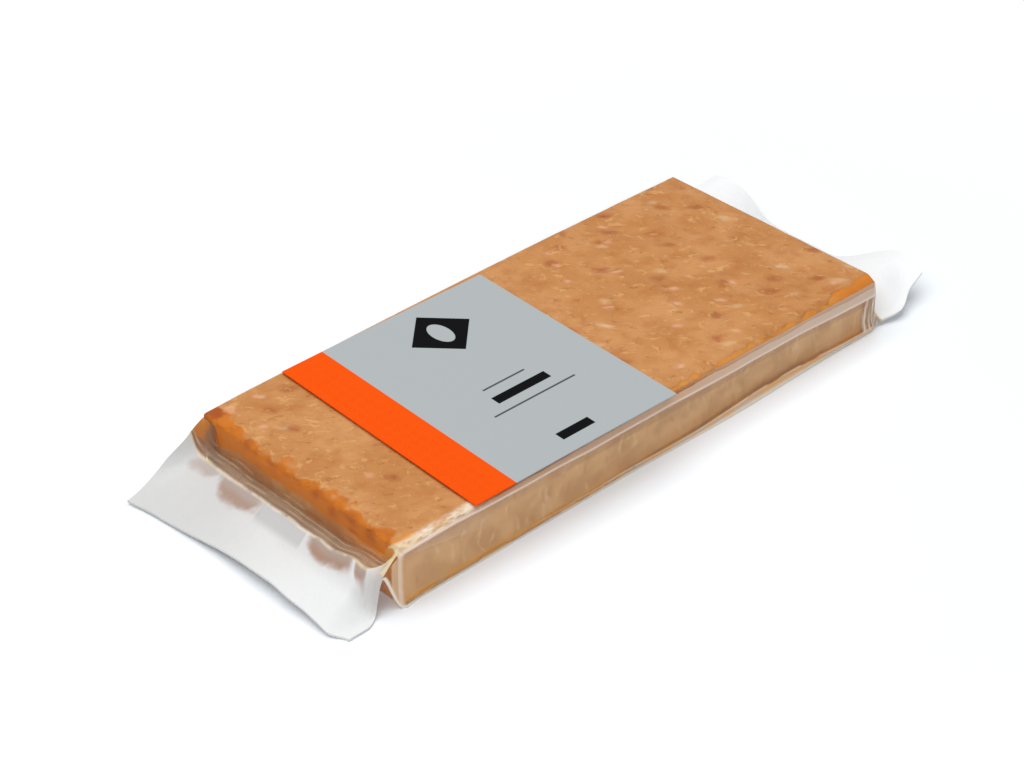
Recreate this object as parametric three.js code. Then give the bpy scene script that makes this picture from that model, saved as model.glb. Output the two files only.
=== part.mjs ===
// A bar of soft coffee nougat, vacuum-sealed in a clear film bag, with a paper label on top.
//
// Frame: millimetres, +Z up, +X along the bar towards the back tail, -Y towards the label's foot.
// The origin is the centre of the bar's underside, on the surface that the pack rests on.
//
// The sealed bag is one solid. It starts as a box of quads, and each corner of that grid is carried to its
// place: stations run along X from tail to tail, rows run across Y, and courses run down each long side.

import * as THREE from "three";

const { clamp, lerp, smoothstep, degToRad } = THREE.MathUtils;

// ---- Driving dimensions ----

const BAR_LENGTH = 165;
const BAR_WIDTH = 73;
const BAR_HEIGHT = 16.7;
const CROWN = 1.0; // how much higher the bar is at mid-length than at its ends
const RELIEF = 0.45; // height of the lumps that show through the film
const END_ROUND = 1.2; // radius of the bar's top edge at each end
const CORNER_PULL = 0.6; // how far the bar's upright corners are drawn in

const CREASE_GAP = 3.5; // from the bar's end to the crease where the two films meet
const FILM_WALL = 0.6; // the tails as solids: two films and the seal between them
const TAIL_CLEARANCE = 0.05; // how close a tail comes to the surface

const LABEL_LENGTH = 65.2;
const LABEL_WIDTH = 72.4;
const LABEL_THICKNESS = 0.3;
const LABEL_GAP = 0.3;
const LABEL_CENTRE = new THREE.Vector2(-26.5, -1.3);
const LABEL_TURN = degToRad(-1.28);
const LABEL_MARGIN = 2; // the flat ground that the label lies on, beyond its ends

const HALF_LENGTH = BAR_LENGTH / 2;
const HALF_WIDTH = BAR_WIDTH / 2;
const CREASE_X = HALF_LENGTH + CREASE_GAP;

// ---- Small curves that the shapes share ----

// 1 at the middle of a hump and 0 from half a width away.
function hump(value, middle, halfWidth) {
  const t = clamp(Math.abs(value - middle) / halfWidth, 0, 1);
  return Math.cos((t * Math.PI) / 2) ** 2;
}

// A repeatable number from 0 to 1 for each whole-numbered place.
function drawn(i, j, seed) {
  const s = Math.sin(i * 127.1 + j * 311.7 + seed * 74.7) * 43758.5453;
  return s - Math.floor(s);
}

// Smooth lumps of the given size, from -1 to 1.
function lumps(x, y, size, seed) {
  const i = Math.floor(x / size);
  const j = Math.floor(y / size);
  const u = smoothstep(x / size - i, 0, 1);
  const v = smoothstep(y / size - j, 0, 1);
  const near = lerp(drawn(i, j, seed), drawn(i + 1, j, seed), u);
  const far = lerp(drawn(i, j + 1, seed), drawn(i + 1, j + 1, seed), u);
  return 2 * lerp(near, far, v) - 1;
}

// ---- The bar in its film ----

function crownAt(x) {
  return CROWN * (1 - clamp(x / HALF_LENGTH, -1, 1) ** 2);
}

// 1 over the face that carries the label, which lies flat, and 0 away from it.
function underLabel(x) {
  const reach = LABEL_LENGTH / 2 + LABEL_MARGIN;
  return 1 - smoothstep(Math.abs(x - LABEL_CENTRE.x), reach, reach + 4);
}

function topHeight(x, y) {
  const relief = RELIEF * (0.45 * lumps(x, y, 9, 1) + 0.55 * lumps(x, y, 5, 2));
  const edgeDrop = 0.5 * smoothstep(Math.abs(y), HALF_WIDTH - 3, HALF_WIDTH) ** 2;
  return BAR_HEIGHT + crownAt(x) + relief * (1 - underLabel(x)) - edgeDrop;
}

// How far the top face's long edge is set in. The film leaves the bar further in towards the back.
function rimInset(x, side) {
  return side < 0 ? lerp(0.5, 1.3, smoothstep(x, -HALF_LENGTH, HALF_LENGTH)) : 0.5;
}

// Each long side comes down in courses from the top face's edge: the film's fold, two courses of the bar's
// flat side, the bottom film's fold along the foot, and the floor. side is -1 in front and 1 behind.
const SIDE_COURSES = 5;

function sideCourse(course, x, side) {
  const top = topHeight(x, side * HALF_WIDTH);
  const wander = 0.35 * lumps(x, side * 50, 11, 3);
  const frontFold = 16.1 - 1.8 * smoothstep(x, -HALF_LENGTH, 0) - 3.4 * smoothstep(x, 0, HALF_LENGTH);
  const fold = Math.min((side < 0 ? frontFold : 13.2) + wander, top - 0.4);
  const foot = 1.7 + wander;
  const face = 0.25 * lumps(x, side * 90, 9, 4) - 0.3;
  const courses = [
    { outset: -rimInset(x, side), height: top },
    { outset: 0.25, height: fold },
    { outset: face, height: lerp(fold, foot, 0.35) },
    { outset: face, height: lerp(fold, foot, 0.75) },
    { outset: 0.6 + 0.5 * wander, height: foot },
    { outset: -0.4, height: 0 },
  ];
  return courses[course];
}

// ---- The tails ----

// Each tail is a sheet from the crease out to the bag's cut end. out runs from 0 at the crease to 1 at the cut
// end, and across from -1 in front to 1 behind.

// The front tail slopes down to the surface. Its back edge hangs from the bar's top corner, and its front edge
// is gathered in at the crease and curls down.
const FRONT_TAIL = {
  reach: (across) => 15 + 4.1 * Math.max(across, 0) ** 2 - 2.4 * smoothstep(-across, 0.86, 1),
  edge: (out, across) => (across > 0 ? 37.3 + 0.8 * out : 34 + 3 * smoothstep(out, 0, 0.6)),
  height(out, across) {
    const crease = 7.2 + 1.8 * smoothstep(-across, 0.45, 0.75);
    const cutEnd = 0.5 + 2.4 * hump(across, -0.25, 0.95);
    const ripple = 0.5 * Math.sin(across * 9) * out * (1 - out);
    const sheet = lerp(crease, cutEnd, out ** 0.85) + ripple;
    const hung = sheet + (13 * (1 - out) ** 1.5 + 0.9 - sheet) * smoothstep(across, 0.84, 1);
    return lerp(hung, 0.4, smoothstep(-across, 0.78, 1) * smoothstep(out, 0, 0.34));
  },
};

// The back tail sags in the middle and lifts in a lobe at each side.
const BACK_TAIL = {
  reach: (across) => 16.5 + 3.8 * hump(across, -0.75, 0.55),
  edge: (out, across) => (across > 0 ? 37 + 1.5 * out : 36.5 + 2.2 * hump(out, 0.35, 0.4) - 2 * out),
  height(out, across) {
    const crease = 7.5 - 6 * smoothstep(-across, 0.7, 1);
    const lobes = 8.2 * hump(across, 0.88, 0.55) + 8.6 * hump(across, -0.8, 0.7);
    const ripple = 0.5 * Math.sin(across * 8 + 1) * out * (1 - out);
    return lerp(crease, 0.5 + lobes, out ** 1.3) + ripple;
  },
};

// ---- The grid of the sealed bag ----

const BAR_STATIONS = 48;
const ROUND_STATIONS = 3;
const FALL_STATIONS = 4;
const TAIL_STATIONS = 8;
const STATIONS = BAR_STATIONS + 2 * (ROUND_STATIONS + FALL_STATIONS + TAIL_STATIONS);
const ROWS = 24;

// Rows lie closer together towards the long edges.
function acrossAt(row) {
  const even = (2 * row) / ROWS - 1;
  return 0.65 * even + 0.35 * Math.sin((even * Math.PI) / 2);
}

// The upright section of the bag at one station and row: its place in plan, and the heights of both faces.
function sectionAt(station, across) {
  const fromMiddle = station - STATIONS / 2;
  const end = Math.sign(fromMiddle);
  const side = Math.sign(across);
  const tail = end < 0 ? FRONT_TAIL : BACK_TAIL;
  const beyondBar = Math.abs(fromMiddle) - BAR_STATIONS / 2;
  const beyondRound = beyondBar - ROUND_STATIONS;
  const beyondFall = beyondRound - FALL_STATIONS;

  if (beyondRound <= 0) {
    const angle = (clamp(beyondBar / ROUND_STATIONS, 0, 1) * Math.PI) / 2;
    const flat = HALF_LENGTH - END_ROUND;
    const along = beyondBar <= 0 ? (flat * Math.abs(fromMiddle)) / (BAR_STATIONS / 2) : flat;
    const x = end * (along + END_ROUND * Math.sin(angle));
    const rounded = 1 - Math.cos(angle);
    const y = across * (HALF_WIDTH - CORNER_PULL * rounded * Math.abs(across));
    const yTop = y - side * rimInset(x, side) * across ** 2;
    return { x, y, yTop, top: topHeight(x, yTop) - END_ROUND * rounded, bottom: 0, outset: 1 };
  }

  if (beyondFall <= 0) {
    const fall = beyondRound / FALL_STATIONS;
    const held = sectionAt(STATIONS / 2 + end * (BAR_STATIONS / 2 + ROUND_STATIONS), across);
    const crease = tail.height(0, across);
    const y = lerp(held.y, across * tail.edge(0, across), fall ** 1.5);
    return {
      x: end * lerp(HALF_LENGTH, CREASE_X, fall ** 2),
      y,
      yTop: y,
      top: lerp(held.top, crease + FILM_WALL / 2, fall ** 0.4),
      bottom: lerp(0, crease - FILM_WALL / 2, fall ** 1.2),
      outset: 1 - fall,
    };
  }

  const out = beyondFall / TAIL_STATIONS;
  const y = across * tail.edge(out, across);
  const sheet = Math.max(tail.height(out, across), FILM_WALL / 2 + TAIL_CLEARANCE);
  return {
    x: end * (CREASE_X + out * tail.reach(across)),
    y,
    yTop: y,
    top: sheet + FILM_WALL / 2,
    bottom: sheet - FILM_WALL / 2,
    outset: 0,
  };
}

// Carries one corner of the grid to its place. Course 0 is the top face and the last course the underside.
function packPoint(station, row, course) {
  const across = acrossAt(row);
  const section = sectionAt(station, across);
  if (row > 0 && row < ROWS) {
    const onTop = course === 0;
    return new THREE.Vector3(section.x, onTop ? section.yTop : section.y, onTop ? section.top : section.bottom);
  }
  const side = Math.sign(across);
  const barX = clamp(section.x, -HALF_LENGTH, HALF_LENGTH);
  const { outset, height } = sideCourse(course, barX, side);
  const share = height / sideCourse(0, barX, side).height;
  const y = section.y + side * outset * section.outset;
  return new THREE.Vector3(section.x, y, lerp(section.bottom, section.top, share));
}

// Both wide faces have their quads split along the same diagonal, so that the thin tails keep their wall.
function splitAlike(grid) {
  const underside = grid.groups[5];
  const { index } = grid;
  for (let i = underside.start; i < underside.start + underside.count; i += 6) {
    index.setX(i + 2, index.getX(i + 4));
    index.setX(i + 3, index.getX(i));
  }
}

function sealedBag() {
  const grid = new THREE.BoxGeometry(STATIONS, ROWS, SIDE_COURSES, STATIONS, ROWS, SIDE_COURSES);
  const corners = grid.getAttribute("position");
  for (let i = 0; i < corners.count; i++) {
    const station = Math.round(corners.getX(i) + STATIONS / 2);
    const row = Math.round(corners.getY(i) + ROWS / 2);
    const course = Math.round(SIDE_COURSES / 2 - corners.getZ(i));
    corners.setXYZ(i, ...packPoint(station, row, course).toArray());
  }
  splitAlike(grid);
  grid.computeVertexNormals();
  return grid;
}

// ---- The label ----

// A plain card that follows the bar's crown.
function labelCard() {
  const card = new THREE.BoxGeometry(LABEL_LENGTH, LABEL_WIDTH, LABEL_THICKNESS, 16, 1, 1);
  card.rotateZ(LABEL_TURN);
  const corners = card.getAttribute("position");
  for (let i = 0; i < corners.count; i++) {
    const x = corners.getX(i) + LABEL_CENTRE.x;
    const y = corners.getY(i) + LABEL_CENTRE.y;
    const rest = BAR_HEIGHT + crownAt(x) + LABEL_GAP + LABEL_THICKNESS / 2;
    corners.setXYZ(i, x, y, corners.getZ(i) + rest);
  }
  card.computeVertexNormals();
  return card;
}

// ---- The pack ----

const nougatInFilm = new THREE.MeshStandardMaterial({ color: 0xc68a52, roughness: 0.35, metalness: 0 });
const labelPaper = new THREE.MeshStandardMaterial({ color: 0xb7bdbd, roughness: 0.6, metalness: 0 });

const bag = new THREE.Mesh(sealedBag(), nougatInFilm);
bag.name = "sealed_bag";

const label = new THREE.Mesh(labelCard(), labelPaper);
label.name = "label";

const pack = new THREE.Group();
pack.add(bag, label);

export default pack;
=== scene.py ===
# A bar of soft coffee nougat, vacuum-sealed in a clear film bag, with a paper label on top.
#
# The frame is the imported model's: metres, +Z up, +X along the bar towards the back tail, -Y towards the
# label's foot, and the origin in the middle of the bar's underside. Sizes below are in millimetres.

import math

import bpy
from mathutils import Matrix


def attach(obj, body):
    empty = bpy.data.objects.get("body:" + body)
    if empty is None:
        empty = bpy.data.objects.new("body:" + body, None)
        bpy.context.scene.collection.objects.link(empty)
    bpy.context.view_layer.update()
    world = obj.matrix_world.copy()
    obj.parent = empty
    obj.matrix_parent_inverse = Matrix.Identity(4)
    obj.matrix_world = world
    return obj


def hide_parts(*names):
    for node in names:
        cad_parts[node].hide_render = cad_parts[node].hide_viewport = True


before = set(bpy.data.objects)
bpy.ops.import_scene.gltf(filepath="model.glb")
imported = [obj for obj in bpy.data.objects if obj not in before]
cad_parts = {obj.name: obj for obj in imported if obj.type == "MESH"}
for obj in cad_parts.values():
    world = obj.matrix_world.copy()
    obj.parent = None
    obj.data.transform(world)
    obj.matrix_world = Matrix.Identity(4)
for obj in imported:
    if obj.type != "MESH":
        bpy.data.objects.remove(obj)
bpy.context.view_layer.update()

# ---- The nougat bar ----
#
# A block of soft coffee nougat, pressed into a tray and cut. Its top is faintly crowned and lumpy, and it is
# flecked with sugar. The oil that collects along its upper edges has turned them amber.

MM = 0.001

BAR_LENGTH = 165
BAR_WIDTH = 73
BAR_HEIGHT = 16.7
HALF_LENGTH = BAR_LENGTH / 2
HALF_WIDTH = BAR_WIDTH / 2
CROWN = 1.0
RELIEF = 0.45

FILM_GAP = 0.2
BAR_EDGE = 0.5
END_ROUND = 2.6
END_UNEVEN = 0.8
CORNER_ROUND = 1.1
BACK_ROUND = 0.4
BACK_SKEW = 1.1
FOOT_SPREAD = 0.6
NEAR_INSET = 0.5
FAR_INSET = -0.2
NEAR_DROP = 0.4
BACK_DROP = 1.0

CUTS_UP = 11
CUTS_ACROSS = 59
CUTS_ALONG = 11
EDGE_SEGMENTS = 3

LABEL_LENGTH = 65.2
LABEL_MIDDLE_X = -26.5
LABEL_MARGIN = 2


def clamp(value, low, high):
    return max(low, min(high, value))


def between(a, b, share):
    return a + (b - a) * share


def ease(value, low, high):
    """0 below low, 1 above high, and a smooth step from one to the other."""
    share = clamp((value - low) / (high - low), 0, 1)
    return share * share * (3 - 2 * share)


def drawn(i, j, seed):
    """A repeatable number from 0 to 1 for each whole-numbered place."""
    s = math.sin(i * 127.1 + j * 311.7 + seed * 74.7) * 43758.5453
    return s - math.floor(s)


def lumps(x, y, size, seed):
    """Smooth lumps of the given size, from -1 to 1."""
    i = math.floor(x / size)
    j = math.floor(y / size)
    u = ease(x / size - i, 0, 1)
    v = ease(y / size - j, 0, 1)
    near = between(drawn(i, j, seed), drawn(i + 1, j, seed), u)
    far = between(drawn(i, j + 1, seed), drawn(i + 1, j + 1, seed), u)
    return 2 * between(near, far, v) - 1


def top_height(x, y):
    """The top face: crowned, lumpy, free of lumps under the label, and eased down along the near edge."""
    crown = CROWN * (1 - clamp(x / HALF_LENGTH, -1, 1) ** 2)
    reach = LABEL_LENGTH / 2 + LABEL_MARGIN
    clear_of_label = ease(abs(x - LABEL_MIDDLE_X), reach, reach + 4)
    relief = RELIEF * (0.45 * lumps(x, y, 9, 1) + 0.55 * lumps(x, y, 5, 2))
    relief *= 1 - 0.7 * ease(max(abs(x) - HALF_LENGTH, abs(y) - HALF_WIDTH), -7, -2)
    edge_drop = (NEAR_DROP + BACK_DROP * ease(x, -10, 60)) * ease(-y, HALF_WIDTH - 3.5, HALF_WIDTH) ** 2
    return BAR_HEIGHT + crown + relief * clear_of_label - edge_drop


def end_reach(x, y):
    """How far in from an end the top begins to slump: in a roll at the front, and hardly at the back."""
    roll = END_ROUND + END_UNEVEN * lumps(0, y, 7, 5)
    return between(roll, CORNER_ROUND, ease(abs(y), 29, 35)) if x < 0 else BACK_ROUND


def slump(x, y):
    """How far the top falls away in the soft roll along each end."""
    reach = end_reach(x, y)
    into = clamp((abs(x) - HALF_LENGTH + reach) / reach, 0, 1)
    return reach * (1 - math.sqrt(1 - into * into))


def rim_inset(side):
    """How far the top face's long edge is set in at the near side, and set out at the far side."""
    return NEAR_INSET if side < 0 else FAR_INSET


def back_skew(x, y):
    """The back end was cut a little askew: how much longer the bar is towards its near side."""
    return BACK_SKEW * ease(x, 40, HALF_LENGTH) * (HALF_WIDTH - y) / BAR_WIDTH


def start_box(name, length, width, height):
    """A block that stands on the floor round the origin, in edit mode, with nothing else selected."""
    bpy.ops.object.select_all(action="DESELECT")
    bpy.ops.mesh.primitive_cube_add(size=1, location=(0, 0, height * MM / 2))
    piece = bpy.context.object
    piece.name = name
    piece.data.name = name
    piece.scale = (length * MM, width * MM, height * MM)
    bpy.ops.object.transform_apply(location=True, rotation=True, scale=True)
    bpy.ops.object.mode_set(mode="EDIT")
    return piece


def select_edges(piece, wanted):
    """Selects the edges, in edit mode, whose middle and direction (in millimetres) the rule wants."""
    bpy.ops.mesh.select_all(action="DESELECT")
    bpy.ops.object.mode_set(mode="OBJECT")
    for edge in piece.data.edges:
        a, b = (piece.data.vertices[i].co / MM for i in edge.vertices)
        edge.select = wanted((a + b) / 2, b - a)
    bpy.ops.object.mode_set(mode="EDIT")


def on_block_edge(middle, run):
    """Whether this lies on one of the block's twelve edges."""
    at_end = abs(middle.x) > HALF_LENGTH - FILM_GAP - 0.01
    at_side = abs(middle.y) > HALF_WIDTH - 0.01
    at_face = abs(middle.z - BAR_HEIGHT / 2) > BAR_HEIGHT / 2 - 0.01
    return at_end + at_side + at_face == 2


nougat_bar = start_box("nougat_bar", BAR_LENGTH - 2 * FILM_GAP, BAR_WIDTH, BAR_HEIGHT)
bpy.ops.mesh.select_mode(type="EDGE")
select_edges(nougat_bar, lambda middle, run: abs(run.z) > 1)
bpy.ops.mesh.subdivide(number_cuts=CUTS_UP)
select_edges(nougat_bar, lambda middle, run: abs(run.y) > 1)
bpy.ops.mesh.subdivide(number_cuts=CUTS_ACROSS)
for round_of_cuts in range(2):
    select_edges(nougat_bar, lambda middle, run: abs(run.x) > 1)
    bpy.ops.mesh.subdivide(number_cuts=CUTS_ALONG)
select_edges(nougat_bar, on_block_edge)
bpy.ops.mesh.bevel(offset=BAR_EDGE * MM, segments=EDGE_SEGMENTS, affect="EDGES")
bpy.ops.object.mode_set(mode="OBJECT")
for vertex in nougat_bar.data.vertices:
    x, y, z = vertex.co / MM
    top = top_height(x, y) - slump(x, y) - FILM_GAP
    drawn_in = (rim_inset(y) + FILM_GAP) * y / HALF_WIDTH
    spread = FOOT_SPREAD * (1 - ease(z, 1.5, 5)) * clamp(-y / HALF_WIDTH, 0, 1) ** 8
    vertex.co.x = (x + back_skew(x, y)) * MM
    vertex.co.y = (y - drawn_in - spread) * MM
    vertex.co.z = between(FILM_GAP, top, z / BAR_HEIGHT) * MM
bpy.ops.object.shade_smooth()


class Value:
    """A number or colour that varies over a surface. Numbers can be added, multiplied and so on."""

    def __init__(self, paint, socket):
        self.paint = paint
        self.socket = socket

    def math(self, operation, *values):
        return self.paint.node("ShaderNodeMath", {"operation": operation}, dict(enumerate(values)))

    def __add__(self, other):
        return self.math("ADD", self, other)

    def __radd__(self, other):
        return self.math("ADD", other, self)

    def __sub__(self, other):
        return self.math("SUBTRACT", self, other)

    def __rsub__(self, other):
        return self.math("SUBTRACT", other, self)

    def __mul__(self, other):
        return self.math("MULTIPLY", self, other)

    def __rmul__(self, other):
        return self.math("MULTIPLY", other, self)

    def __truediv__(self, other):
        return self.math("DIVIDE", self, other)

    def __abs__(self):
        return self.math("ABSOLUTE", self)

    def at_least(self, other):
        return self.math("MAXIMUM", self, other)

    def at_most(self, other):
        return self.math("MINIMUM", self, other)

    def other(self, name):
        """Another output of the same node."""
        return Value(self.paint, self.socket.node.outputs[name])


class Paint:
    """A material and the nodes that it is made of. Places and sizes in it are in millimetres."""

    def __init__(self, name):
        self.material = bpy.data.materials.new(name)
        self.material.use_nodes = True
        self.tree = self.material.node_tree
        self.tree.nodes.clear()

    def node(self, kind, settings=None, inputs=None, output=0):
        node = self.tree.nodes.new(kind)
        for name, value in (settings or {}).items():
            setattr(node, name, value)
        for name, value in (inputs or {}).items():
            if isinstance(value, Value):
                self.tree.links.new(value.socket, node.inputs[name])
            else:
                node.inputs[name].default_value = value
        return Value(self, node.outputs[output]) if node.outputs else None

    def place(self):
        """The piece's own coordinates."""
        metres = self.node("ShaderNodeTexCoord", output="Object")
        return self.node("ShaderNodeVectorMath", {"operation": "SCALE"}, {"Vector": metres, "Scale": 1 / MM})

    def parts_of(self, vector):
        return [self.node("ShaderNodeSeparateXYZ", {}, {0: vector}, axis) for axis in range(3)]

    def stretched(self, vector, factors):
        return self.node("ShaderNodeVectorMath", {"operation": "MULTIPLY"}, {0: vector, 1: factors})

    def noise(self, vector, size, seed, detail=2.0, distortion=0.0):
        settings = {"noise_dimensions": "4D"}
        inputs = {"Vector": vector, "W": seed, "Scale": 1 / size, "Detail": detail, "Distortion": distortion}
        return self.node("ShaderNodeTexNoise", settings, inputs)

    def warped(self, vector, size, amount, seed):
        """The place, pushed about by up to half the amount."""
        push = self.noise(vector, size, seed).other("Color")
        push = self.node("ShaderNodeVectorMath", {"operation": "SUBTRACT"}, {0: push, 1: (0.5, 0.5, 0.5)})
        push = self.node("ShaderNodeVectorMath", {"operation": "SCALE"}, {"Vector": push, "Scale": amount})
        return self.node("ShaderNodeVectorMath", {"operation": "ADD"}, {0: vector, 1: push})

    def strewn(self, vector, spacing, seed):
        """Points strewn one to a cell: how far off the nearest is, and a chance of its own from 0 to 1."""
        shift = (seed * 410, seed * 170, 0)
        apart = self.node("ShaderNodeVectorMath", {"operation": "ADD"}, {0: vector, 1: shift})
        inputs = {"Vector": apart, "Scale": 1 / spacing}
        distance = self.node("ShaderNodeTexVoronoi", {"voronoi_dimensions": "2D"}, inputs, "Distance")
        return distance * spacing, self.parts_of(distance.other("Color"))[0]

    def blobs(self, vector, spacing, radius, seed, share):
        """Soft-edged blobs round the strewn points, at the given share of them."""
        distance, chance = self.strewn(vector, spacing, seed)
        return (1 - self.ease(distance, 0, radius)) * self.ease(chance, 0.98 - share, 1 - share)

    def ease(self, value, low, high):
        settings = {"interpolation_type": "SMOOTHSTEP"}
        return self.node("ShaderNodeMapRange", settings, {"Value": value, "From Min": low, "From Max": high})

    def line(self, value, half_width):
        """1 where the value is 0, falling to 0 at half_width to either side."""
        return 1 - self.ease(abs(value), 0, half_width)

    def blend(self, mask, first, second):
        """The first colour where the mask is 0 and the second where it is 1."""
        return self.node("ShaderNodeMix", {"data_type": "RGBA"}, {0: mask, 6: first, 7: second}, 2)

    def bump(self, height, depth):
        return self.node("ShaderNodeBump", {}, {"Height": height, "Distance": depth * MM, "Strength": 1.0})

    def show(self, surface):
        self.node("ShaderNodeOutputMaterial", {}, {"Surface": surface})

    def put_on(self, piece):
        piece.data.materials.clear()
        piece.data.materials.append(self.material)


CARAMEL = (0.515, 0.220, 0.068, 1)
CARAMEL_PALE = (0.585, 0.275, 0.100, 1)
DIMPLE = (0.42, 0.140, 0.030, 1)
RUSSET = (0.34, 0.068, 0.012, 1)
SUGAR_CURL = (0.72, 0.38, 0.145, 1)
SUGAR_SPECK = (0.76, 0.43, 0.18, 1)
ROSY_SPOT = (0.80, 0.44, 0.29, 1)
PAINTED_GLINT = (0.70, 0.49, 0.28, 1)
AMBER = (0.64, 0.168, 0.007, 1)
AMBER_PALE = (0.57, 0.166, 0.014, 1)
AMBER_STRIP = (0.67, 0.265, 0.045, 1)
TAN_SIDE = (0.72, 0.410, 0.178, 1)
TAN_SIDE_DEEP = (0.61, 0.325, 0.132, 1)
TAN_SIDE_PALE = (0.84, 0.57, 0.32, 1)
END_BROWN = (0.50, 0.190, 0.056, 1)
OILY_END = (0.90, 0.330, 0.075, 1)
FOOT_OIL = (0.76, 0.34, 0.055, 1)
LOW_SHADE_BROWN = (0.56, 0.245, 0.080, 1)

nougat = Paint("coffee_nougat")
at = nougat.place()
x, y, z = nougat.parts_of(at)

# The sugar was drawn out one way as the nougat was pressed, so most flecks lie across the bar at a slant.
PRESSED_AT = math.radians(-43)
drawn_out = nougat.node("ShaderNodeMapping", {"vector_type": "TEXTURE"}, {
    "Vector": at, "Rotation": (0, 0, PRESSED_AT), "Scale": (1.6, 1, 1)})
swirled = nougat.warped(nougat.warped(drawn_out, 4, 3, 1), 1.4, 1.6, 2)
tumbled = nougat.warped(nougat.warped(at, 4, 3, 1), 1.6, 2.0, 2)

tone_drift = nougat.noise(at, 11, 3)
mottle = nougat.noise(swirled, 3.2, 4, 4)
hollows = nougat.ease(nougat.noise(tumbled, 4.6, 5, 3), 0.50, 0.70)
pits = nougat.ease(nougat.noise(swirled, 2.0, 6, 2), 0.62, 0.74)
russet_pits = nougat.blobs(swirled, 8.5, 2.2, 7, 0.38)
from_curl, curl_chance = nougat.strewn(tumbled, 5.0, 8)
curls = nougat.line(from_curl - 1.4, 0.8) * nougat.ease(nougat.noise(at, 2.4, 9), 0.50, 0.64)
curls = curls * nougat.ease(curl_chance, 0.55, 0.6)
flakes = nougat.ease(nougat.noise(swirled, 2.5, 10, 2), 0.58, 0.68)
specks = nougat.ease(nougat.noise(drawn_out, 1.0, 11, 1), 0.62, 0.72)
rosy = nougat.blobs(swirled, 9, 1.4, 12, 0.35)
# Painted glints: pale streaks on the top that stand for light caught by small wrinkles in the film.
painted_glints = nougat.blobs(swirled, 10, 1.7, 13, 0.3)

top_colour = nougat.blend(nougat.ease(tone_drift, 0.35, 0.65), CARAMEL, CARAMEL_PALE)
top_colour = nougat.blend(nougat.ease(mottle, 0.45, 0.7) * 0.35, top_colour, DIMPLE)
top_colour = nougat.blend(hollows * 0.3, top_colour, DIMPLE)
top_colour = nougat.blend(pits * 0.45, top_colour, DIMPLE)
top_colour = nougat.blend(russet_pits * 0.6, top_colour, RUSSET)
top_colour = nougat.blend(flakes * 0.5, top_colour, SUGAR_CURL)
top_colour = nougat.blend(curls * 0.55, top_colour, SUGAR_CURL)
top_colour = nougat.blend(specks * 0.25, top_colour, SUGAR_SPECK)
top_colour = nougat.blend(rosy * 0.6, top_colour, ROSY_SPOT)
# The painted glints go over the top's colours.
top_colour = nougat.blend(painted_glints * 0.45, top_colour, PAINTED_GLINT)

side_blotch = nougat.noise(nougat.warped(at, 6, 6, 14), 7, 15, 4)
side_colour = nougat.blend(nougat.ease(side_blotch, 0.35, 0.65), TAN_SIDE, TAN_SIDE_DEEP)
drawn_down = nougat.node("ShaderNodeCombineXYZ", {}, {0: x + 7 * side_blotch, 1: z * 0.35})
side_strokes = nougat.ease(nougat.noise(drawn_down, 1.7, 16, 2), 0.55, 0.74)
side_colour = nougat.blend(side_strokes * 0.5, side_colour, TAN_SIDE_PALE)
side_nicks = nougat.blobs(drawn_down, 3.8, 0.8, 26, 0.45)
side_colour = nougat.blend(side_nicks * 0.4, side_colour, END_BROWN)
# Painted shade: the side is darkened towards its foot, over the back half of the bar.
low_shade = (1 - nougat.ease(z + 3 * nougat.noise(at, 12, 18), 3.5, 8)) * nougat.ease(x, -40, 0)
side_colour = nougat.blend(low_shade * 0.5, side_colour, LOW_SHADE_BROWN)
foot = (1 - nougat.ease(z, 1.4, 3.4)) * nougat.ease(nougat.noise(at, 6, 19), 0.40, 0.50)
side_colour = nougat.blend(foot * 0.9, side_colour, FOOT_OIL)

back_sag = 1.3 * nougat.ease(x, -10, 60)
below_edge = (16.3 - back_sag - z).at_least(0)
front_face = 1 - nougat.ease(x + HALF_LENGTH, 0.4, 1.6)
end_colour = nougat.blend(nougat.ease(nougat.noise(at, 4, 20), 0.4, 0.7) * 0.5, END_BROWN, TAN_SIDE_DEEP)
end_colour = nougat.blend(1 - nougat.ease(y + HALF_WIDTH, 4, 26), end_colour, OILY_END)
side_colour = nougat.blend(front_face, side_colour, end_colour)
near_top = nougat.ease(z + back_sag, 13.0, 15.4)
colour = nougat.blend(near_top, side_colour, top_colour)
tumbled_x, tumbled_y, _ = nougat.parts_of(tumbled)


def spot(middle_x, middle_y, radius):
    """A soft round mark on the top."""
    off_x = (tumbled_x - middle_x) / radius
    off_y = (tumbled_y - middle_y) / radius
    return (1 - nougat.ease(off_x * off_x + off_y * off_y, 0.1, 1.2)) * near_top


# Oil has soaked the front end's upper edge in lobes, and the near edge in a thinner, broken strip.
lobes = nougat.noise(nougat.warped(at, 3, 3, 21), 4.5, 22, 2)
from_end = x + HALF_LENGTH - below_edge
over_ridge = nougat.warped(nougat.node("ShaderNodeCombineXYZ", {}, {0: from_end, 1: y}), 3, 3, 27)
from_lobes = from_end + 14 * lobes
far_corner_rise = nougat.ease(y, 22, 32)
end_amber = 1 - nougat.ease(from_lobes - 2.5 * far_corner_rise, 8.6, 10.2)
amber_foot = from_end + 3 * lobes + 1.8 * far_corner_rise
end_amber = end_amber * nougat.ease(amber_foot, -3.6, -2.6) * front_face.at_least(near_top)
amber_tone = nougat.blend(nougat.ease(from_end, -2.5, 1.5), AMBER, AMBER_PALE)
deep_rim = nougat.line(from_lobes - 7.2, 2.4) * nougat.ease(nougat.noise(at, 5, 29), 0.4, 0.55)
amber_tone = nougat.blend(deep_rim * 0.3, amber_tone, RUSSET)
amber_tone = nougat.blend(nougat.blobs(over_ridge, 6.5, 3.0, 23, 0.6) * 0.6, amber_tone, RUSSET)
lips = nougat.line(from_lobes - 10.8, 0.9) * nougat.ease(nougat.noise(at, 3, 28), 0.45, 0.6) * near_top
colour = nougat.blend(lips * 0.6, colour, SUGAR_CURL)
colour = nougat.blend(end_amber * 0.95, colour, amber_tone)
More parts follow.
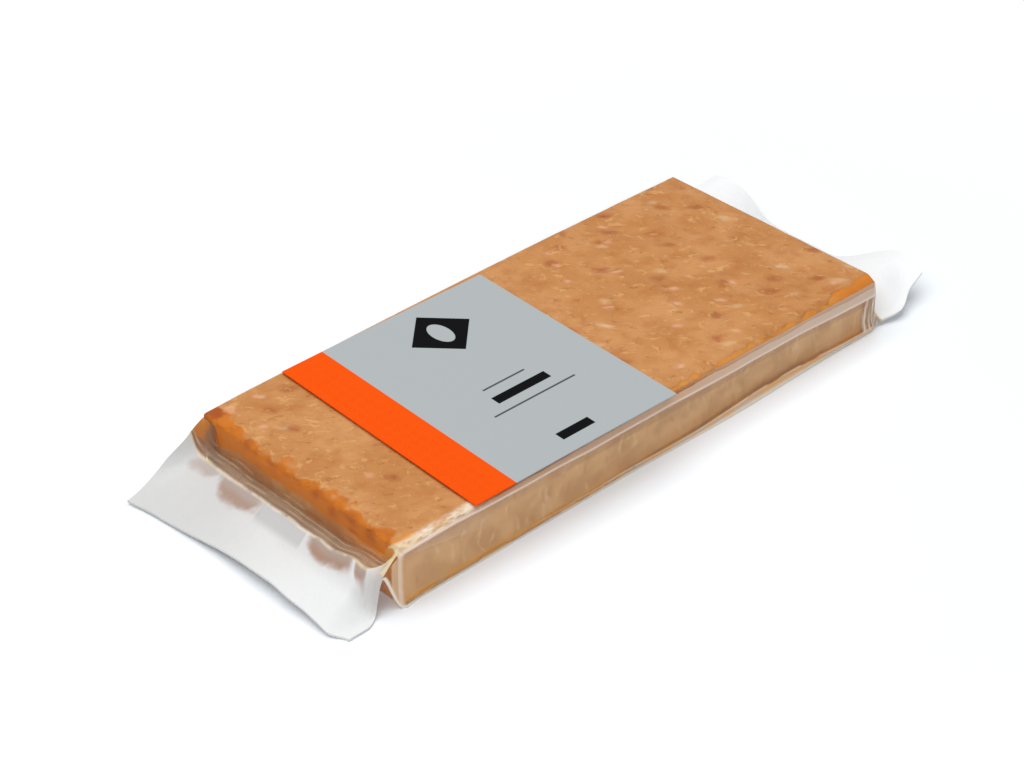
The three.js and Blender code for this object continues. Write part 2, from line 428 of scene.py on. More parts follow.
colour = nougat.blend(spot(-80, 34.5, 3.0) * 0.85, colour, RUSSET)
colour = nougat.blend(spot(-76.5, 33, 1.8) * 0.35, colour, ROSY_SPOT)

from_near_side = y + HALF_WIDTH - 0.7 - below_edge * 0.6
strip_width = 0.3 + 1.4 * nougat.ease(nougat.noise(nougat.stretched(at, (1, 0, 0)), 8, 24), 0.38, 0.62)
strip_width = strip_width + 1.6 * nougat.ease(x, 66, 73) + 2.5 * (1 - nougat.ease(x, -80, -66))
near_amber = 1 - nougat.ease(from_near_side - strip_width, -0.4, 0.4)
near_amber = near_amber * nougat.ease(from_near_side, -0.9, -0.1)
strip_tone = nougat.blend(nougat.ease(nougat.noise(at, 3, 25), 0.45, 0.7) * 0.5, AMBER_STRIP, AMBER)
strip_tone = nougat.blend(nougat.ease(x, 66, 74) * 0.6, strip_tone, AMBER)
unbroken = nougat.ease(nougat.noise(at, 5, 30), 0.34, 0.5).at_least(nougat.ease(x, 64, 70))
colour = nougat.blend(near_amber * unbroken * 0.9, colour, strip_tone)

height = 0.8 * mottle + curls * 0.3 + flakes * 0.35 + specks * 0.1
height = height - hollows * 0.4 - pits * 0.4 - russet_pits * 0.6
nougat.show(nougat.node("ShaderNodeBsdfPrincipled", {}, {
    "Base Color": colour,
    "Roughness": 0.5,
    "Specular IOR Level": 0.1,
    "Normal": nougat.bump(height * nougat.ease(z, 14.5, 16) * (1 - near_amber), 0.5),
}))
nougat.put_on(nougat_bar)

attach(nougat_bar, "root")
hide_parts("sealed_bag")

# ---- The film bag ----
#
# A tube of clear film, sealed across both ends and drawn tight on to the bar by the vacuum. It folds at the
# upper edges and the foot, and closes in a crease at each end. Beyond the crease the two films run out as a
# milky tail. It starts as a straight sleeve, and its points are then drawn to their places.

CORNER_PULL = 0.6
CREASE_X = HALF_LENGTH + 3.5
FILM_WALL = 0.6
TAIL_CLEARANCE = 0.05
FALL_LENGTH = 10
TAIL_LENGTH = 17
CREASE_AT = HALF_LENGTH + FALL_LENGTH
COURSES = 5

CUTS_PER_COURSE = 5
FILM_CUTS_ALONG = 13
FILM_CUTS_ACROSS = 89
FALL_CUTS = 19
TAIL_CUTS = 23


def hump(value, middle, half_width):
    """1 at the middle of a hump and 0 from half a width away."""
    share = clamp(abs(value - middle) / half_width, 0, 1)
    return math.cos(share * math.pi / 2) ** 2


def side_courses(x, side):
    """The film's courses down one long side, as outset and height: rim, fold, two flat ones, foot, floor."""
    top = top_height(x, side * HALF_WIDTH)
    wander = 0.25 * lumps(x, side * 50, 11, 3)
    near_fold = 16.1 - 1.8 * ease(x, -HALF_LENGTH, 0) - ease(x, 0, 30) - 1.9 * ease(x, 40, 85)
    fold = min((near_fold if side < 0 else 14.2) + wander, top - 0.4)
    foot = 1.7 + wander + (1.5 * hump(x, 45, 35) if side < 0 else 0)
    face = 0.25 * lumps(x, 90, 9, 4) - 0.3 if side < 0 else 0.1
    flare = between(0.15, 0.7, ease(x, -10, 15)) if side < 0 else 0.6
    near_floor = between(0, 1, hump(x, 30, 45)) + 0.7 * ease(-x, 77, HALF_LENGTH)
    return [
        (-rim_inset(side), top),
        (0.25, fold),
        (face, between(fold, foot, 0.35)),
        (face, between(fold, foot, 0.75)),
        (flare + 0.5 * wander, foot),
        (near_floor if side < 0 else 0, 0),
    ]


class FrontTail:
    """Slopes down to the floor. Its back edge hangs from the bar's corner, and its front edge curls down."""

    @staticmethod
    def reach(across):
        return 15.3 + 3.8 * max(across, 0) ** 2 - 2.4 * ease(-across, 0.86, 1)

    @staticmethod
    def edge(out, across):
        return 36.6 + 1.5 * ease(out, 0, 0.4) if across > 0 else 34 + 3 * ease(out, 0, 0.6)

    @staticmethod
    def height(out, across):
        crease = 7.2 + 1.8 * ease(-across, 0.45, 0.75)
        cut_end = 0.8 + 2.6 * hump(across, -0.25, 0.95)
        ripple = 0.5 * math.sin(across * 9) * out * (1 - out)
        sheet = between(crease, cut_end, out**0.85) + ripple
        hung = sheet + (11.8 * (1 - out) ** 1.5 + 0.9 - sheet) * clamp((across - 0.84) / 0.16, 0, 1) ** 3
        return between(hung, 0.4, ease(-across, 0.78, 1) * ease(out, 0, 0.34))


class BackTail:
    """Sags in the middle and lifts in a lobe at each side."""

    @staticmethod
    def reach(across):
        return 16.5 + 3.8 * hump(across, -0.75, 0.55)

    @staticmethod
    def edge(out, across):
        return 37 + 1.5 * out if across > 0 else 36.5 + 2.2 * hump(out, 0.35, 0.4) - 2 * out

    @staticmethod
    def height(out, across):
        crease = 7.5 - 6 * ease(-across, 0.7, 1)
        lobes = 8.2 * hump(across, 0.88, 0.55) + 8.6 * hump(across, -0.8, 0.7)
        ripple = 0.5 * math.sin(across * 8 + 1) * out * (1 - out)
        return between(crease, 0.5 + lobes, out**1.3) + ripple


def crease_x(end, across):
    """How far out the crease lies, which wanders a little across the bag."""
    return CREASE_X + 0.5 * lumps(across * HALF_WIDTH, end * 20, 6, 7)


def section_at(laid_x, across):
    """The bag's upright section: x, y below, y on top, height on top, height below, share of the outset."""
    end = -1 if laid_x < 0 else 1
    side = (across > 0) - (across < 0)
    tail = FrontTail if end < 0 else BackTail
    along = abs(laid_x)
    if along <= HALF_LENGTH:
        reach = end_reach(end, across * HALF_WIDTH)
        angle = clamp((along - HALF_LENGTH + reach) / reach, 0, 1) * math.pi / 2
        x = end * (min(along, HALF_LENGTH - reach) + reach * math.sin(angle))
        rounded = 1 - math.cos(angle)
        y = across * (HALF_WIDTH - CORNER_PULL * rounded * abs(across))
        y_top = y - side * rim_inset(side) * across**2
        return x, y, y_top, top_height(x, y_top) - reach * rounded, 0, 1
    if along <= CREASE_AT:
        fall = (along - HALF_LENGTH) / FALL_LENGTH
        _, held_y, _, held_top, _, _ = section_at(end * HALF_LENGTH, across)
        crease = tail.height(0, across)
        taut = ease(abs(across), 0.86, 1) if end < 0 else 0
        x = end * between(HALF_LENGTH, crease_x(end, across), fall ** between(2, 0.8, taut))
        y = between(held_y, across * tail.edge(0, across), fall ** between(1.5, 1, taut))
        top = between(held_top, crease + FILM_WALL / 2, fall ** between(0.4, 1, taut))
        bottom = between(0, crease - FILM_WALL / 2, fall**1.2)
        return x, y, y, top, bottom, 1 - fall
    out = (along - CREASE_AT) / TAIL_LENGTH
    y = across * tail.edge(out, across)
    sheet = max(tail.height(out, across), FILM_WALL / 2 + TAIL_CLEARANCE)
    x = end * (crease_x(end, across) + out * tail.reach(across))
    return x, y, y, sheet + FILM_WALL / 2, sheet - FILM_WALL / 2, 0


def drawn_to_place(laid_x, laid_y, laid_z):
    """Where a point of the straight sleeve goes when the bag is drawn tight."""
    across = laid_y / HALF_WIDTH
    x, y, y_top, top, bottom, outset = section_at(laid_x, across)
    x += back_skew(x, y)
    if abs(across) < 0.9999:
        return (x, y_top, top) if laid_z > BAR_HEIGHT / 2 else (x, y, bottom)
    side = 1 if across > 0 else -1
    courses = side_courses(clamp(x, -HALF_LENGTH, HALF_LENGTH), side)
    course = clamp(COURSES * (1 - laid_z / BAR_HEIGHT), 0, COURSES)
    upper = min(int(course), COURSES - 1)
    out = between(courses[upper][0], courses[upper + 1][0], course - upper)
    height = between(courses[upper][1], courses[upper + 1][1], course - upper)
    return x, y + side * out * outset, between(bottom, top, height / courses[0][1])


def select_end(piece, x):
    """Selects the faces, in edit mode, that lie at this x (in millimetres)."""
    bpy.ops.mesh.select_all(action="DESELECT")
    bpy.ops.object.mode_set(mode="OBJECT")
    for face in piece.data.polygons:
        face.select = abs(face.center.x / MM - x) < 0.01
    bpy.ops.object.mode_set(mode="EDIT")


film_bag = start_box("film_bag", BAR_LENGTH, BAR_WIDTH, BAR_HEIGHT)
for end in (-1, 1):
    bpy.ops.mesh.select_mode(type="FACE")
    select_end(film_bag, end * HALF_LENGTH)
    for length in (FALL_LENGTH, TAIL_LENGTH):
        bpy.ops.mesh.extrude_region_move(TRANSFORM_OT_translate={"value": (end * length * MM, 0, 0)})
bpy.ops.mesh.select_mode(type="EDGE")
select_edges(film_bag, lambda middle, run: abs(run.z) > 1)
bpy.ops.mesh.subdivide(number_cuts=CUTS_PER_COURSE * COURSES - 1)
select_edges(film_bag, lambda middle, run: abs(run.y) > 1)
bpy.ops.mesh.subdivide(number_cuts=FILM_CUTS_ACROSS)
select_edges(film_bag, lambda middle, run: abs(run.x) > 1 and abs(middle.x) > CREASE_AT)
bpy.ops.mesh.subdivide(number_cuts=TAIL_CUTS)
select_edges(film_bag, lambda middle, run: abs(run.x) > 1 and HALF_LENGTH < abs(middle.x) < CREASE_AT)
bpy.ops.mesh.subdivide(number_cuts=FALL_CUTS)
for round_of_cuts in range(2):
    select_edges(film_bag, lambda middle, run: abs(run.x) > 1 and abs(middle.x) < HALF_LENGTH)
    bpy.ops.mesh.subdivide(number_cuts=FILM_CUTS_ALONG)
bpy.ops.object.mode_set(mode="OBJECT")

laid = film_bag.data.attributes.new("laid", "FLOAT_VECTOR", "POINT")
for vertex in film_bag.data.vertices:
    laid.data[vertex.index].vector = vertex.co / MM
    vertex.co = [millimetres * MM for millimetres in drawn_to_place(*(vertex.co / MM))]
bpy.ops.object.shade_smooth_by_angle(angle=math.radians(40))

HAZE = (0.62, 0.56, 0.54, 1)
TAN_HAZE = (0.71, 0.58, 0.42, 1)
LAVENDER = (0.72, 0.565, 0.455, 1)
PINK_TAN = (0.86, 0.58, 0.39, 1)
BAND_BROWN = (0.80, 0.52, 0.31, 1)
UPRIGHT_TAN = (0.76, 0.50, 0.29, 1)
GLARE_CREAM = (0.84, 0.66, 0.40, 1)
UPRIGHT_FOLD_HIGHLIGHT = (0.92, 0.70, 0.53, 1)
FOOT_HIGHLIGHT = (0.98, 0.90, 0.76, 1)
FOOT_AMBER = (0.86, 0.43, 0.13, 1)
CREAM = (0.92, 0.80, 0.64, 1)
GOLD_CREAM = (0.86, 0.72, 0.42, 1)
FOLD_HIGHLIGHT = (0.97, 0.80, 0.70, 1)
FOOT_CREAM = (0.98, 0.76, 0.54, 1)
RIB_HIGHLIGHT = (0.54, 0.39, 0.26, 1)
RIB_CREASE_SHADE = (0.17, 0.085, 0.038, 1)
MILKY = (0.96, 0.96, 0.955, 1)
MILKY_SHADED = (0.71, 0.70, 0.68, 1)
FLAP_SHADE = (0.66, 0.63, 0.59, 1)
FACET_SHADE = (0.60, 0.595, 0.585, 1)
NOUGAT_THROUGH = (0.42, 0.26, 0.185, 1)
NOUGAT_FAINT = (0.45, 0.355, 0.305, 1)
OIL_AT_CORNER = (0.56, 0.185, 0.025, 1)
SHADE_AT_CORNER = (0.31, 0.150, 0.078, 1)
SHADE_UNDER_FOLD = (0.36, 0.19, 0.08, 1)
SHADE_UNDER_LABEL = (0.20, 0.13, 0.08, 1)
FLANGE_TAN = (0.88, 0.63, 0.43, 1)
GATHER_OLIVE = (0.46, 0.33, 0.17, 1)

FLAP_START = 7
CORNER_CUT = HALF_LENGTH + HALF_WIDTH - 3
DIAGONAL = 1.41
ROPE_SLOPE = 1.09

film = Paint("clear_film")
on_film = film.node("ShaderNodeAttribute", {"attribute_name": "laid"}, {}, "Vector")
along, across, up = film.parts_of(on_film)
fold_height = BAR_HEIGHT * (1 - 1 / COURSES)
foot_height = BAR_HEIGHT / COURSES

near_side = 1 - film.ease(across, -36.4, -36.0)
off_top = film.ease(BAR_HEIGHT - up, 0.05, 0.3)
near_wall = near_side * off_top
over_bar = 1 - film.ease(abs(along), HALF_LENGTH - 0.3, HALF_LENGTH + 0.3)
on_end = 1 - over_bar
front_end = 1 - film.ease(along, -1, 1)
near_corner = film.ease(-1 * across, 30.8, 35) * front_end * on_end * (1 - off_top)
past_crease = abs(along) - CREASE_AT
from_crease = past_crease + near_corner * FLAP_START
beyond_crease = film.ease(from_crease, -0.1, 0.4)
fall = (abs(along) - HALF_LENGTH) / FALL_LENGTH
on_fall = on_end * (1 - beyond_crease) * (1 - near_wall)
drift = film.noise(on_film, 9, 21, 3)
crinkle = film.noise(on_film, 2.2, 22, 3)


def coat(under, mask, colour):
    """The tint and the cover of the film with one more coat over them."""
    tint, cover = under
    whole = mask + cover * (1 - mask)
    return film.blend(mask / (whole + 0.001), tint, colour), whole


def strip(value, low, high, soft):
    """1 between low and high, with edges as soft as given."""
    return film.ease(value, low - soft, low) * (1 - film.ease(value, high, high + soft))


looks = coat((HAZE, 0.0), near_wall * 0.05, HAZE)

# The flat strip between the top's near edge and the fold, where the film bridges the bar's rounded edge.
bridge_top = fold_height + 2.0 + 1.6 * (drift - 0.5)
above_fold = film.ease(up, fold_height - 0.25, fold_height) * near_wall * over_bar
bridge = above_fold * (1 - film.ease(up, bridge_top, bridge_top + 0.25))
looks = coat(looks, above_fold * film.ease(along, 5, 30) * 0.45, BAND_BROWN)
looks = coat(looks, bridge * film.ease(along, -75, -45) * 0.7, PINK_TAN)
looks = coat(looks, above_fold * (0.35 + 0.35 * bridge) * film.ease(along, 10, 50), LAVENDER)

# Crinkles along the near edge towards the front corner, pale partly from the crumpled film and partly as
# painted glints, and the painted glare on the corner itself.
near_edge = film.ease(-1 * across, 33.5, 35.1) * film.ease(up, fold_height - 0.3, fold_height) * over_bar
towards_front = 1 - film.ease(along + 8 * drift, -58, -46)
crumpled = film.noise(film.stretched(on_film, (0.5, 1, 1)), 1.6, 33, 2)
crinkle_glints = (0.35 + 0.55 * film.ease(crumpled, 0.34, 0.6)) * near_edge * towards_front
looks = coat(looks, crinkle_glints, film.blend(film.ease(crinkle, 0.35, 0.65), GLARE_CREAM, CREAM))

# Film stretched straight across the corner, with a painted glare along it.
across_corner = (along + across + CORNER_CUT) / DIAGONAL
taut = film.line(across_corner, 1.1) * 0.7 + 0.35 * (1 - film.ease(across_corner, -0.6, 0.2))
taut = taut * film.ease(up, fold_height + 0.3, fold_height + 1) * front_end * over_bar
looks = coat(looks, taut.at_most(0.8), GLARE_CREAM)
front_bridge = strip(up, fold_height, fold_height + 1.1, 0.25) * near_wall * over_bar * towards_front
looks = coat(looks, front_bridge * 0.6, LAVENDER)
label_shade = film.ease(up, 14.6, 16.0) * near_wall * strip(along, -59.5, 6, 0.5)
looks = coat(looks, label_shade * 0.3, SHADE_UNDER_LABEL)

# The fall at each end: pale ribs painted as highlights and dark creases painted as shade, running across the
# bag.
waver = film.noise(film.stretched(on_film, (0, 1, 0)), 13, 24, 2) - 0.5
looks = coat(looks, on_fall * film.ease(fall + waver * 0.4, 0.3, 0.9) * 0.32, TAN_HAZE)
for place, sway, width, tone, cover in (
    (0.36, 0.30, 0.07, RIB_HIGHLIGHT, 0.4), (0.50, 0.25, 0.06, RIB_CREASE_SHADE, 0.35), (0.60, 0.40, 0.05, RIB_HIGHLIGHT, 0.5),
    (0.68, 0.25, 0.05, RIB_CREASE_SHADE, 0.45), (0.80, 0.35, 0.035, RIB_HIGHLIGHT, 0.5), (0.90, 0.10, 0.05, RIB_CREASE_SHADE, 0.5)
):
    in_parts = film.ease(film.noise(on_film, 9, place * 90), 0.40, 0.56)
    rib = film.line(fall - place + waver * sway, width * 1.3) * on_fall * in_parts
    looks = coat(looks, rib * cover, tone)
far_corner = on_fall * front_end * film.ease(across, 30.5, 34)
oily = film.ease(across + 3 * (crinkle - 0.5) - 3 * film.ease(fall, 0.55, 1), 33.9, 34.7)
looks = coat(looks, far_corner * 0.96, film.blend(oily, SHADE_AT_CORNER, OIL_AT_CORNER))
fringe = film.line(fall - 0.84, 0.10) * film.ease(crinkle, 0.35, 0.55)
looks = coat(looks, far_corner * fringe * 0.5, PINK_TAN)

# The near corner's upright fold with a painted highlight down its edge, and the rope of gathered film that
# runs from its foot to the tail's edge, painted as a highlight.
upright = strip(along, -86.4, -82.0, 0.7) * near_wall * (1 - film.ease(up, fold_height, fold_height + 1))
looks = coat(looks, upright * 0.85, UPRIGHT_TAN)
looks = coat(looks, strip(along, -83.0, -82.3, 0.5) * near_wall * 0.75, UPRIGHT_FOLD_HIGHLIGHT)
rope = film.line(up + ROPE_SLOPE * (along + HALF_LENGTH), 3.4) * near_side * on_end * front_end
looks = coat(looks, (rope * 1.4).at_most(1) * 0.95, FOOT_HIGHLIGHT)

# The film gathered in pleats at the back end's near corner, with painted highlights on the pleats.
gathered = near_wall * strip(along, HALF_LENGTH - 4.5, HALF_LENGTH + 7, 1) * (1 - above_fold)
looks = coat(looks, gathered * 0.5, GATHER_OLIVE)
pleats = film.ease(film.noise(film.stretched(on_film, (1, 0, 0.1)), 1.0, 26, 2), 0.45, 0.6)
looks = coat(looks, pleats * gathered * 0.75, FOLD_HIGHLIGHT)

# The foot, where the film flares out along the floor.
flange = (1 - film.ease(up, foot_height - 0.3, foot_height)) * near_wall * over_bar
looks = coat(looks, flange * film.ease(along, -35, 5) * 0.75, FLANGE_TAN)
foot_fold = film.line(up - foot_height, 0.55) * film.ease(film.noise(on_film, 7, 27), 0.36, 0.46)
looks = coat(looks, foot_fold * near_wall * over_bar * film.ease(along, -60, 0) * 0.8, FOOT_CREAM)
oil_at_foot = strip(up, 0.8, 3.0, 0.6) * film.ease(film.noise(on_film, 6, 35), 0.44, 0.52)
looks = coat(looks, oil_at_foot * near_wall * over_bar * 0.75, FOOT_AMBER)
# A painted highlight along the film's foot.
looks = coat(looks, film.line(up - 0.7, 1.5) * near_side * over_bar * 0.9, FOOT_HIGHLIGHT)
# A faint painted highlight in a slanting band on the near side towards the front.
slant = film.ease(up + 0.13 * (along + HALF_LENGTH), 12.2, 12.6) * (1 - film.ease(along, -66, -50))
looks = coat(looks, slant * near_wall * over_bar * 0.12, FOLD_HIGHLIGHT)

# The long fold itself as a line of painted highlight, and the shade below it.
under_fold = strip(up, fold_height - 1.8, fold_height, 0.8) * near_wall * over_bar
looks = coat(looks, under_fold * (0.06 + 0.16 * film.ease(along, -50, 0)), SHADE_UNDER_FOLD)
looks = coat(looks, film.line(up - fold_height, 0.65) * near_wall * over_bar * 0.8, FOLD_HIGHLIGHT)

# The tails, milky where the two films are welded, with the nougat showing through. The front tail is painted
# darker towards its far side and on flat facets, as shade.
painted_tail_shade = 0.32 + 0.78 * film.ease(across + 10 * (drift - 0.5), -28, 34)
milk = film.blend(painted_tail_shade.at_most(1) * front_end, MILKY, MILKY_SHADED)
shaded_facets = strip(across + 0.3 * past_crease, -7.5, 8, 0.8) * (1 - film.ease(past_crease, 4, 7))
shaded_facets = shaded_facets.at_least(strip(across, -33, -6, 4) * (1 - film.ease(past_crease, 4, 9)) * 0.4)
milk = film.blend(shaded_facets * front_end, milk, FACET_SHADE)

frayed = film.noise(on_film, 4, 34, 2)


def clinging(middle, half_width, depth, lean):
    """Where the tail clings to the nougat beyond the crease, in a patch with a rounded end."""
    off = (across - middle - lean * past_crease) / half_width
    out = past_crease / depth
    return 1 - film.ease(off * off * off * off + out * out + 1.6 * (frayed - 0.5), 0.25, 1.25)


nougat_shows = clinging(28.5, 4.8, 4.0, 0.3) * 0.6
nougat_shows = nougat_shows.at_least(clinging(17, 8.8, 6.0, -0.7) * 0.9)
nougat_shows = nougat_shows.at_least(clinging(-17, 9.0, 5.2, -0.5))
nougat_shows = nougat_shows.at_least(clinging(-28.6, 2.4, 3.8, -0.7))
nougat_shows = nougat_shows * front_end * beyond_crease * (1 - near_corner)
through = film.blend(film.ease(past_crease + 3 * (drift - 0.5), 0.5, 3.5), NOUGAT_FAINT, NOUGAT_THROUGH)
milk = film.blend(nougat_shows, milk, through)

# The flap that hangs from the near corner, painted grey as shade with painted shade along its wrinkles, and
# the lavender strip along its edge.
milk = film.blend(near_corner * film.ease(along, -100, -93), milk, FLAP_SHADE)
wrinkle_shade = film.ease(film.noise(film.stretched(on_film, (0.2, 1, 0)), 1.8, 36, 2), 0.48, 0.6)
milk = film.blend(near_corner * wrinkle_shade * film.ease(along, -101, -95) * 0.45, milk, HAZE)
edge_strip = strip(across, -36.1, -34.2, 0.4) * near_corner * film.ease(along, -92, -90)
milk = film.blend(edge_strip * 0.7, milk, LAVENDER)
looks = coat(looks, beyond_crease * 0.93, milk)
neck = film.ease(-1 * across, 34.4, 35.6) * strip(along, -91, -82.6, 1) * (1 - off_top)
looks = coat(looks, neck * 0.9, GOLD_CREAM)

# The crease itself, a frayed line of painted highlight.
fraying = film.noise(on_film, 5, 29) - 0.5
crease_line = film.line(from_crease - 0.1 + 1.2 * fraying, 0.8) * film.ease(frayed, 0.3, 0.55) * on_end
line_tone = film.blend(film.ease(abs(across) + 24 * fraying, 18, 30), CREAM, GOLD_CREAM)
looks = coat(looks, crease_line * 0.6, line_tone)
corner_line = film.line(from_crease - 0.3, 1.5) * film.ease(near_corner, 0.1, 0.3)
looks = coat(looks, corner_line * film.ease(crinkle, 0.35, 0.55) * 0.7, GOLD_CREAM)

film_colour, film_cover = looks
ripples = film.bump(crinkle * (1 - over_bar * (1 - near_wall)), 0.25)
solid = film.node("ShaderNodeBsdfPrincipled", {}, {
    "Base Color": film_colour, "Roughness": 0.45, "Specular IOR Level": 0.25, "Normal": ripples})
glow = film.node("ShaderNodeBsdfTranslucent", {}, {"Color": MILKY})
solid = film.node("ShaderNodeMixShader", {}, {0: 0.12, 1: solid, 2: glow})
sight = film.node("ShaderNodeBsdfTransparent", {}, {"Color": (1, 1, 1, 1)})
gloss = film.node("ShaderNodeBsdfGlossy", {}, {"Color": (1, 1, 1, 1), "Roughness": 0.15, "Normal": ripples})
sheen = film.node("ShaderNodeFresnel", {}, {"IOR": 1.16, "Normal": ripples}).at_most(0.12)
clear = film.node("ShaderNodeMixShader", {}, {0: sheen, 1: sight, 2: gloss})
film.show(film.node("ShaderNodeMixShader", {}, {0: film_cover, 1: clear, 2: solid}))
film.put_on(film_bag)

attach(film_bag, "root")
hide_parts("sealed_bag")

# ---- The label ----
#
# A card of matt grey paper with an orange band across its front end, laid over the film and held by a spot
# of glue. It is printed with a plain lozenge and almond, and with rules where the words would be.

LABEL_WIDTH = 72.4
LABEL_THICKNESS = 0.3
LABEL_GAP = 0.3
LABEL_MIDDLE_Y = -1.3
LABEL_TURN = math.radians(-1.28)
LABEL_REST = BAR_HEIGHT + LABEL_GAP
LABEL_CUTS = 39

LOZENGE_X = 7.2
LOZENGE_Y = 22.3
LOZENGE_REACH = 9.6
LOZENGE_EDGE = 0.08
ALMOND_HALF_LENGTH = 2.7
ALMOND_HALF_WIDTH = 4.6
RULES = ((6.4, -8.8, 8.6, 1.5), (4.6, -30.0, 5.2, 1.5))
THIN_RULES = ((5.2, -3.6, 6.8, 0.3), (6.5, -13.7, 13.2, 0.3))
BAND_EDGE = -20
MARK_SPACING_X = 2.6
MARK_SPACING_Y = 3.4
PRINT_EDGE = 0.06

label = start_box("label_card", LABEL_LENGTH, LABEL_WIDTH, LABEL_THICKNESS)
bpy.ops.mesh.select_mode(type="EDGE")
select_edges(label, lambda middle, run: abs(run.x) > 1)
bpy.ops.mesh.subdivide(number_cuts=LABEL_CUTS)
bpy.ops.mesh.select_all(action="SELECT")
bpy.ops.transform.rotate(value=-LABEL_TURN, orient_axis="Z", center_override=(0, 0, 0))
bpy.ops.transform.translate(value=(LABEL_MIDDLE_X * MM, LABEL_MIDDLE_Y * MM, LABEL_REST * MM))
bpy.ops.object.mode_set(mode="OBJECT")
for vertex in label.data.vertices:
    vertex.co.z += CROWN * (1 - (vertex.co.x / MM / HALF_LENGTH) ** 2) * MM

PAPER_GREY = (0.402, 0.426, 0.428, 1)
FIBRE_GREY = (0.33, 0.35, 0.35, 1)
BAND_ORANGE = (0.84, 0.086, 0.006, 1)
BAND_MARK = (0.70, 0.068, 0.005, 1)
INK = (0.008, 0.008, 0.009, 1)
INK_THIN = (0.08, 0.085, 0.09, 1)

paper = Paint("label_paper")
metres = paper.node("ShaderNodeTexCoord", output="Object")
middle = (LABEL_MIDDLE_X * MM, LABEL_MIDDLE_Y * MM, 0)
own = paper.node("ShaderNodeMapping", {"vector_type": "TEXTURE"}, {
    "Vector": metres, "Location": middle, "Rotation": (0, 0, LABEL_TURN), "Scale": (MM, MM, MM)})
lx, ly, _ = paper.parts_of(own)


def block(mid_x, mid_y, half_x, half_y):
    """A printed block, 1 inside and 0 outside, with a crisp edge."""
    inside_x = paper.ease(half_x - abs(lx - mid_x), -PRINT_EDGE, PRINT_EDGE)
    return inside_x * paper.ease(half_y - abs(ly - mid_y), -PRINT_EDGE, PRINT_EDGE)


off_lozenge = abs(lx - LOZENGE_X) + abs(ly - LOZENGE_Y)
lozenge = paper.ease(LOZENGE_REACH - off_lozenge, -LOZENGE_EDGE, LOZENGE_EDGE)
almond_x = (lx - LOZENGE_X) / ALMOND_HALF_LENGTH
almond_y = (ly - LOZENGE_Y) / ALMOND_HALF_WIDTH
almond = paper.ease(1 - (almond_x * almond_x + almond_y * almond_y), -0.05, 0.05)
ink = lozenge * (1 - almond)
for rule in RULES:
    ink = ink + block(*rule)
thin_ink = 0
for rule in THIN_RULES:
    thin_ink = thin_ink + block(*rule)
fibre = paper.noise(own, 0.6, 31, 3)
band = 1 - paper.ease(lx - BAND_EDGE, -0.05, 0.05)
paper_colour = paper.blend(fibre * 0.08, PAPER_GREY, FIBRE_GREY)
paper_colour = paper.blend(band, paper_colour, BAND_ORANGE)
marks_x = abs(lx.math("PINGPONG", lx, MARK_SPACING_X) - MARK_SPACING_X / 2)
marks_y = abs(ly.math("PINGPONG", ly, MARK_SPACING_Y) - MARK_SPACING_Y / 2)
marks = paper.line(marks_x * 1.2 + marks_y - 0.9, 0.35) * (1 - paper.ease(lx, -23.2, -23.0))
paper_colour = paper.blend(band * marks * 0.35, paper_colour, BAND_MARK)
paper_colour = paper.blend(thin_ink, paper_colour, INK_THIN)
paper_colour = paper.blend(ink, paper_colour, INK)
paper.show(paper.node("ShaderNodeBsdfPrincipled", {}, {
    "Base Color": paper_colour,
    "Roughness": 0.62,
    "Specular IOR Level": 0.0,
    "Normal": paper.bump(fibre, 0.01),
}))
paper.put_on(label)

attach(label, "root")
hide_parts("label")

# ---- The set ----
#
# A plain white floor in a white room, under a large soft light that hangs above the pack, with a weak light
# in front.

FLOOR_WHITE = (0.85, 0.875, 0.90, 1)
FLOOR_PALE = (0.86, 0.885, 0.91, 1)
FLOOR_FAR = (0.95, 0.95, 0.95, 1)
ROOM_WHITE = (0.90, 0.95, 1, 1)

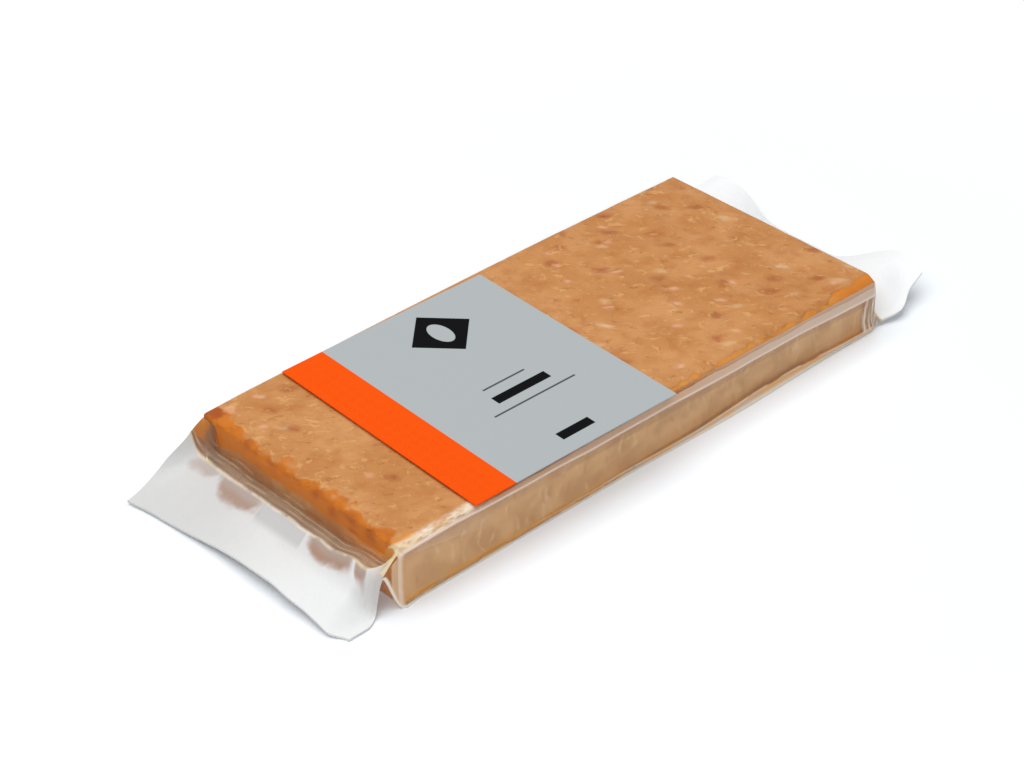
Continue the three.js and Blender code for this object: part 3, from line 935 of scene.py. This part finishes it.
bpy.ops.object.select_all(action="DESELECT")
bpy.ops.mesh.primitive_plane_add(size=8)
floor = bpy.context.object
floor.name = "floor"
floor_paint = Paint("floor_white")
on_set = floor_paint.place()
floor_tone = floor_paint.blend(floor_paint.noise(on_set, 40, 41), FLOOR_WHITE, FLOOR_PALE)
far_off = floor_paint.node("ShaderNodeVectorMath", {"operation": "LENGTH"}, {0: on_set}, "Value")
floor_tone = floor_paint.blend(floor_paint.ease(far_off, 100, 350), floor_tone, FLOOR_FAR)
floor_paint.show(floor_paint.node("ShaderNodeBsdfPrincipled", {}, {
    "Base Color": floor_tone, "Roughness": 0.9, "Specular IOR Level": 0.0,
    "Emission Color": (1, 1, 1, 1), "Emission Strength": 0.03}))
floor_paint.put_on(floor)

world = bpy.data.worlds.new("white_room")
bpy.context.scene.world = world
world.use_nodes = True
world.node_tree.nodes["Background"].inputs["Color"].default_value = ROOM_WHITE
world.node_tree.nodes["Background"].inputs["Strength"].default_value = 0.36


def hang_light(name, place, width, depth, power, tilt):
    """A soft rectangular light at a place in metres, tilted by degrees round x, y and z."""
    bpy.ops.object.light_add(type="AREA", location=place)
    light = bpy.context.object
    light.name = name
    light.data.shape = "RECTANGLE"
    light.data.size = width
    light.data.size_y = depth
    light.data.energy = power
    light.rotation_euler = [math.radians(degrees) for degrees in tilt]


hang_light("softbox", place=(-0.12, 0.07, 1.0), width=1.5, depth=0.9, power=11.95, tilt=(-4, -6.8, 0))
hang_light("fill_light", place=(-0.35, -0.75, 0.45), width=0.9, depth=0.9, power=0.7, tilt=(61.5, 0, -25))

CAMERA_AZIMUTH = math.radians(-43.331)
CAMERA_HEIGHT = math.radians(35.186)
CAMERA_PLACE = (-368.70, -376.20, 374.68)
CAMERA_LENS = 88.93

bpy.ops.object.camera_add(
    location=[millimetres * MM for millimetres in CAMERA_PLACE],
    rotation=(math.pi / 2 - CAMERA_HEIGHT, 0, CAMERA_AZIMUTH),
)
camera = bpy.context.object
camera.data.lens = CAMERA_LENS
camera.data.sensor_width = 36
camera.data.clip_start = 0.01
bpy.context.scene.camera = camera
bpy.context.scene.view_settings.view_transform = "Standard"
